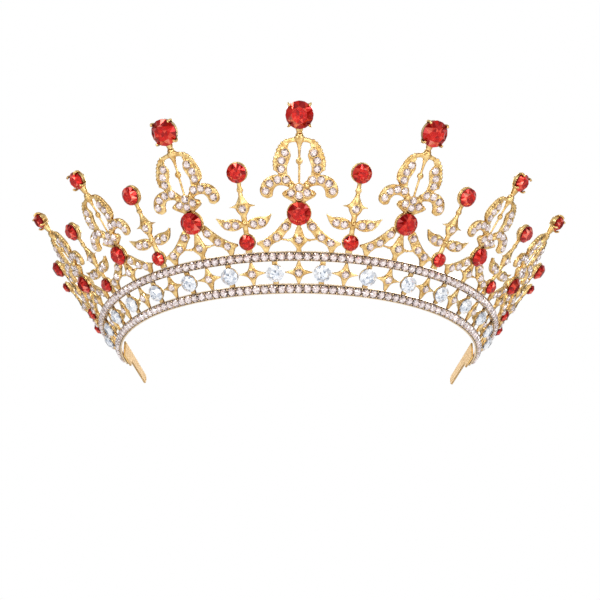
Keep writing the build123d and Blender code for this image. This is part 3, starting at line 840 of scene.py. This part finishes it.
def gilt(name, bright, dark, hollow_shade, roughness, bump=0.06):
    """Polished plating over a cast surface: brighter and darker patches, uneven gloss, fine pitting, and
    painted shade, where an ambient occlusion node darkens the colour in its hollows."""
    mat, tree, shader = material(name, 1.0, roughness)
    broad, fine = noise(tree, PATCHES), noise(tree, PITS, 4.0, 0.6)
    # painted shade: ambient occlusion darkens the plating towards the shade colour in hollows and crevices
    shut = tree.nodes.new("ShaderNodeAmbientOcclusion")
    shut.samples = 8
    shut.inputs["Distance"].default_value = SHADE_REACH
    openness = ramp(tree, shut.outputs["AO"], [(0.30, (0, 0, 0)), (0.92, (1, 1, 1))])
    mix = tree.nodes.new("ShaderNodeMix")
    mix.data_type = "RGBA"
    tree.links.new(openness, mix.inputs["Factor"])
    mix.inputs["A"].default_value = tuple(hollow_shade) + (1,)
    tree.links.new(ramp(tree, broad, [(0.38, dark), (0.58, bright)]), mix.inputs["B"])
    tree.links.new(mix.outputs["Result"], shader.inputs["Base Color"])
    spread = tree.nodes.new("ShaderNodeMapRange")
    spread.inputs["From Min"].default_value, spread.inputs["From Max"].default_value = 0.3, 0.7
    spread.inputs["To Min"].default_value = roughness * 0.7
    spread.inputs["To Max"].default_value = roughness * 1.5
    tree.links.new(fine, spread.inputs["Value"])
    tree.links.new(spread.outputs["Result"], shader.inputs["Roughness"])
    bumps = tree.nodes.new("ShaderNodeBump")
    bumps.inputs["Strength"].default_value = bump
    bumps.inputs["Distance"].default_value = PIT_DEPTH
    tree.links.new(fine, bumps.inputs["Height"])
    tree.links.new(bumps.outputs["Normal"], shader.inputs["Normal"])
    return mat


def stone_material(name, stops, metallic, roughness, coat):
    """Cut glass over foil: the stone's own colour, lightened by painted reflections and darkened by painted
    shade facet by facet, with a clear polished face.
    """
    mat, tree, shader = material(name, metallic, roughness)
    shader.inputs["Coat Weight"].default_value = coat
    shader.inputs["Coat Roughness"].default_value = 0.02
    shader.inputs["Coat IOR"].default_value = 1.6
    tone = tree.nodes.new("ShaderNodeAttribute")
    tone.attribute_name = "tone"
    tree.links.new(ramp(tree, tone.outputs["Fac"], stops), shader.inputs["Base Color"])
    return mat


# gilding: its bright patches, its dark patches, the colour of the painted shade in its hollows, roughness and
# depth of pitting
GOLD = gilt("gold", (1.0, 0.72, 0.32), (0.70, 0.42, 0.14), (0.26, 0.12, 0.03), 0.16, 0.5)
RAIL_GOLD = gilt("rail_gold", (1.0, 0.78, 0.50), (0.78, 0.56, 0.33), (0.42, 0.28, 0.17), 0.24)
TAB_GOLD = gilt("tab_gold", (1.0, 0.66, 0.25), (0.90, 0.54, 0.17), (0.50, 0.26, 0.09), 0.34, 0.12)
# colours from the darkest facet to the lightest: the stone's own colour, with painted shade at the dark end
# and painted reflections at the light end
RUBY_COLOURS = [
    (0.0, (0.05, 0.0, 0.0)),
    (0.30, (0.36, 0.0, 0.0)),
    (0.60, (0.72, 0.006, 0.0)),
    (0.82, (0.85, 0.09, 0.05)),
    (1.0, (0.95, 0.28, 0.21)),
]
SMALL_COLOURS = [
    (0.0, (0.05, 0.035, 0.03)),
    (0.3, (0.46, 0.34, 0.31)),
    (0.6, (0.95, 0.80, 0.79)),
    (1.0, (1.0, 0.95, 0.94)),
]
CLEAR_COLOURS = [
    (0.0, (0.07, 0.09, 0.13)),
    (0.25, (0.42, 0.48, 0.58)),
    (0.6, (0.86, 0.90, 0.97)),
    (1.0, (1.0, 1.0, 1.0)),
]
RUBY = stone_material("ruby", RUBY_COLOURS, 0.65, 0.10, 0.25)
CRYSTAL = stone_material("crystal", SMALL_COLOURS, 0.35, 0.10, 0.6)
CLEAR = stone_material("clear_crystal", CLEAR_COLOURS, 0.30, 0.08, 0.6)


# ------------------------------------------------------------------ pieces
def add_piece(name, shape, mat, nodes, smooth=True):
    """A finished piece in the crown's frame, in metres, standing for CAD nodes."""
    mesh = bpy.data.meshes.new(name)
    mesh.from_pydata((shape.points * MM).tolist(), [], shape.faces)
    mesh.materials.append(mat)
    if smooth:
        mesh.polygons.foreach_set("use_smooth", [True] * len(mesh.polygons))
    else:
        # each stone facet's tone: painted reflections and painted shade
        tones = mesh.attributes.new("tone", "FLOAT", "FACE")
        tones.data.foreach_set("value", shape.tones)
    mesh.validate()
    mesh.update()
    obj = bpy.data.objects.new(name, mesh)
    bpy.context.collection.objects.link(obj)
    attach(obj, "root")
    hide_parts(*nodes)


def name_of(kind, steps):
    """The name of the piece that stands a number of steps from the centre, right of it if positive."""
    return f"{kind}_{SIDES[math.copysign(1, steps)]}_{abs(steps)}" if steps else f"{kind}_centre"


def mirrored(pairs):
    """Spots together with their mirror images. A spot on the middle line comes once."""
    return list(pairs) + [(-x, y) for x, y in pairs if x]


def metal(name, shape, mat=GOLD):
    """A metal piece in place of the CAD node of the same name."""
    add_piece(name, shape, mat, [name])


def stones(name, shapes, mat=CRYSTAL):
    """A set of stones in place of the CAD node of the same name."""
    add_piece(name, joined(shapes), mat, [name], smooth=False)


dice = random.Random(7)
SPIN = 6.0
BAND_SEED, ARCH_SEED, TOP_SEED, BUD_SEED, END_SEED = 40, 60, 80, 100, 200


def turned_gem(diameter, seed, seat, look=RUBY_PAINTED_LIGHT):
    """A large stone in its seat, turned at random by up to SPIN radians."""
    return gem(diameter, seed, look).at(turn=dice.uniform(0, SPIN)).moved(seat)


# ------------------------------------------------------------------ the band
for rail, height, back in (
    ("lower_rail", 0.0, LOWER_BACK),
    ("upper_rail", UPPER_RAIL, UPPER_BACK),
):
    metal(rail, rail_shape(height, back), RAIL_GOLD)
    rail_seats = [tangent(unit, height) for unit in rail_units(height)]
    stones(f"{rail}_crystals", [small_stone(0, 0, dice, RAIL_CRYSTAL).moved(seat) for seat in rail_seats])

star = star_casting()
star_units = range(-8, 9)
metal("band_stars", joined([star.moved(tangent(u)) for u in star_units]))
stones("band_star_crystals", [small_stone(0, STAR_ROW, dice).moved(tangent(u)) for u in star_units])

band_seats = [seat_at(step + 0.5, STAR_ROW) for step in range(-8, 8)]
lifted_seats = [seat_at(step + 0.5, STAR_ROW, BAND_LIFT) for step in range(-8, 8)]
lug = plate([(-0.9, -3.9), (0.9, -3.9)], [(0.9, 3.9), (-0.9, 3.9)], low=-0.95, high=0.0, edge=0.25)
band_cup = joined([bowl(BAND_CRYSTAL).at(z=BAND_LIFT), lug])
metal("band_crystal_cups", joined([band_cup.moved(seat) for seat in band_seats]))
band_gems = [
    turned_gem(BAND_CRYSTAL, BAND_SEED + i, seat, CLEAR_PAINTED_LIGHT) for i, seat in enumerate(lifted_seats)
]
stones("band_large_crystals", band_gems, CLEAR)

# ------------------------------------------------------------------ arches and fleurs
lis = fleur_casting()
arch_designs = [arch_casting(size) for size in range(4)]
arches, arch_stones, arch_cups, arch_rubies = [], [], [], []
for steps in range(-3, 4):
    size, unit = abs(steps), 2 * steps
    here = tangent(unit)
    arches.append(arch_designs[size].moved(here))
    for x, y in mirrored(ARM_CRYSTALS) + [KITE_CRYSTAL]:
        arch_stones.append(small_stone(*arch_spot(size, x, y), dice).moved(here))
    seat = seat_at(unit, LIS_BASES[size] + ARCH_RUBY, ARCH_LIFT)
    arch_cups.append(bowl(ARCH_RUBIES[size]).moved(seat))
    arch_rubies.append(turned_gem(ARCH_RUBIES[size], ARCH_SEED + steps, seat))

    factor, foot = LIS_SCALES[size], LIS_BASES[size]
    metal(name_of("fleur", steps), lis.at(y=foot, size=factor).moved(here))
    places = mirrored(PETAL_CRYSTALS + CURL_CRYSTALS + KNOT_CRYSTALS)
    stones(
        name_of("fleur_crystals", steps),
        [small_stone(x * factor, foot + y * factor, dice).moved(here) for x, y in places],
    )
    top = seat_at(unit, foot + LIS_TOP * factor, TOP_LIFT)
    metal(name_of("top_setting", steps), prong_setting(TOP_RUBIES[size]).moved(top))
    top_gem = turned_gem(TOP_RUBIES[size], TOP_SEED + steps, top)
    stones(name_of("top_ruby", steps), [top_gem], RUBY)
metal("arches", joined(arches))
stones("arch_crystals", arch_stones)
metal("arch_ruby_cups", joined(arch_cups))
stones("arch_rubies", arch_rubies, RUBY)

# ------------------------------------------------------------------ buds
bud_designs = [bud_casting(size) for size in range(4)]
bud_stones, cups, rubies = [], {"top": [], "base": []}, {"top": [], "base": []}
for number in (-4, -3, -2, -1, 1, 2, 3, 4):
    unit = 2 * number - math.copysign(1, number)
    here = tangent(unit)
    size = abs(number) - 1
    metal(name_of("bud", number), bud_designs[size].moved(here))
    for x, y in [BUD_STAR] + mirrored(LEAF_CRYSTALS):
        bud_stones.append(small_stone(x, BUD_FOOT + y, dice).moved(here))
    for where, diameter, height, lift in (
        ("top", BUD_TOP_RUBIES[size], BUD_TOP, BUD_TOP_LIFT),
        ("base", BUD_BASE_RUBIES[size], BUD_BASE, BUD_BASE_LIFT),
    ):
        seat = seat_at(unit, height, lift)
        cups[where].append(bowl(diameter).moved(seat))
        seed = BUD_SEED + 9 * number + len(where)
        rubies[where].append(turned_gem(diameter, seed, seat))
stones("bud_crystals", bud_stones)
for where in cups:
    metal(f"bud_{where}_cups", joined(cups[where]))
    stones(f"bud_{where}_rubies", rubies[where], RUBY)

# ------------------------------------------------------------------ end finials and tabs
end = end_casting()
end_stones, end_cups, end_rubies = [], [], []
for side, word in SIDES.items():
    unit = side * END_UNIT
    here = tangent(unit)
    metal(f"end_finial_{word}", (end if side > 0 else end.flipped()).moved(here))
    for x, y in [(0, END_FOOT + BUD_STAR[1])] + SCROLL_CRYSTALS:
        end_stones.append(small_stone(side * x, y, dice).moved(here))
    for diameter, height in ((END_BASE_RUBY, END_BASE), (END_TOP_RUBY, END_TOP)):
        seat = seat_at(unit, height, BUD_BASE_LIFT)
        end_cups.append(bowl(diameter).moved(seat))
        end_rubies.append(gem(diameter, END_SEED + side + int(height)).moved(seat))
    metal(f"end_tab_{word}", tab_shape(side), TAB_GOLD)
stones("end_finial_crystals", end_stones)
metal("end_finial_cups", joined(end_cups))
stones("end_finial_rubies", end_rubies, RUBY)

# ------------------------------------------------------------------ floor, light and camera
# the floor lies well below the crown, because the camera looks up at the crown from below its base
middle = (cad_low + cad_high) / 2
FLOOR, DROP = 2.5, 0.30
corners = [(x * FLOOR, y * FLOOR, cad_low.z - DROP) for x, y in ((-1, -1), (1, -1), (1, 1), (-1, 1))]
floor_mesh = bpy.data.meshes.new("floor")
floor_mesh.from_pydata(corners, [], [(0, 1, 2, 3)])
floor = bpy.data.objects.new("floor", floor_mesh)
bpy.context.collection.objects.link(floor)
floor_mat, _, floor_shader = material("floor", 0.0, 0.6)
floor_shader.inputs["Base Color"].default_value = (0.93, 0.93, 0.93, 1)
floor_mesh.materials.append(floor_mat)

# the surroundings: white where the camera sees them, and a soft gradient for everything else
world = bpy.data.worlds.new("studio")
world.use_nodes = True
bpy.context.scene.world = world
tree = world.node_tree
room = tree.nodes["Background"]
sky_coords = tree.nodes.new("ShaderNodeTexCoord")
sky_axes = tree.nodes.new("ShaderNodeSeparateXYZ")
tree.links.new(sky_coords.outputs["Generated"], sky_axes.inputs["Vector"])
sky_level = tree.nodes.new("ShaderNodeMapRange")
sky_level.inputs["From Min"].default_value, sky_level.inputs["From Max"].default_value = -1.0, 1.0
tree.links.new(sky_axes.outputs["Z"], sky_level.inputs["Value"])
# greys from straight down to straight up, for the metal and the stones to reflect
sky = [(0.0, 0.40), (0.38, 0.12), (0.52, 0.08), (0.62, 0.36), (0.80, 0.85), (1.0, 0.5)]
sky_colour = ramp(tree, sky_level.outputs["Result"], [(level, (grey,) * 3) for level, grey in sky])
tree.links.new(sky_colour, room.inputs["Color"])
backdrop = tree.nodes.new("ShaderNodeBackground")
backdrop.inputs["Color"].default_value = (1, 1, 1, 1)
path = tree.nodes.new("ShaderNodeLightPath")
choose = tree.nodes.new("ShaderNodeMixShader")
tree.links.new(path.outputs["Is Camera Ray"], choose.inputs["Fac"])
tree.links.new(room.outputs["Background"], choose.inputs[1])
tree.links.new(backdrop.outputs["Background"], choose.inputs[2])
tree.links.new(choose.outputs["Shader"], tree.nodes["World Output"].inputs["Surface"])


def softbox(name, position, size, power):
    """A white rectangular light that points at the crown."""
    light = bpy.data.lights.new(name, "AREA")
    light.shape, light.size, light.size_y = "RECTANGLE", size[0], size[1]
    light.energy = power
    obj = bpy.data.objects.new(name, light)
    obj.location = Vector(position)
    obj.rotation_mode = "QUATERNION"
    obj.rotation_quaternion = (middle - obj.location).to_track_quat("-Z", "Y")
    bpy.context.collection.objects.link(obj)


softbox("key", (-0.45, -0.75, 0.30), (0.30, 0.30), 2.5)
softbox("fill", (0.60, -0.65, 0.05), (0.25, 0.40), 1.5)
softbox("low", (0.05, -0.55, -0.22), (0.50, 0.12), 0.5)
softbox("back", (0.1, 0.8, 0.6), (0.6, 0.3), 3.0)
softbox("rear", (0.0, 0.9, 0.22), (0.5, 0.2), 0.36)

# the camera: its lens in millimetres, its distance in metres, and its angles in radians
LENS, SENSOR = 57.2016, 36.0
RANGE, BELOW = 5.5 * BAND_RADIUS * MM, 0.3017
LOOK_UP, LOOK_SIDE, ROLL = 0.3551, 0.0015, -0.0042
camera_data = bpy.data.cameras.new("camera")
camera_data.sensor_width, camera_data.lens = SENSOR, LENS
camera_data.clip_start, camera_data.clip_end = 0.01, 20
camera = bpy.data.objects.new("camera", camera_data)
bpy.context.collection.objects.link(camera)
camera.location = (0, -RANGE * math.cos(BELOW), RISE * MM - RANGE * math.sin(BELOW))
level_part = math.cos(LOOK_UP)
forward = Vector((math.sin(LOOK_SIDE) * level_part, math.cos(LOOK_SIDE) * level_part, math.sin(LOOK_UP)))
roll = Matrix.Rotation(-ROLL, 4, "Z").to_quaternion()
camera.rotation_mode = "QUATERNION"
camera.rotation_quaternion = forward.to_track_quat("-Z", "Y") @ roll
bpy.context.scene.camera = camera
bpy.context.scene.view_settings.view_transform = "Standard"
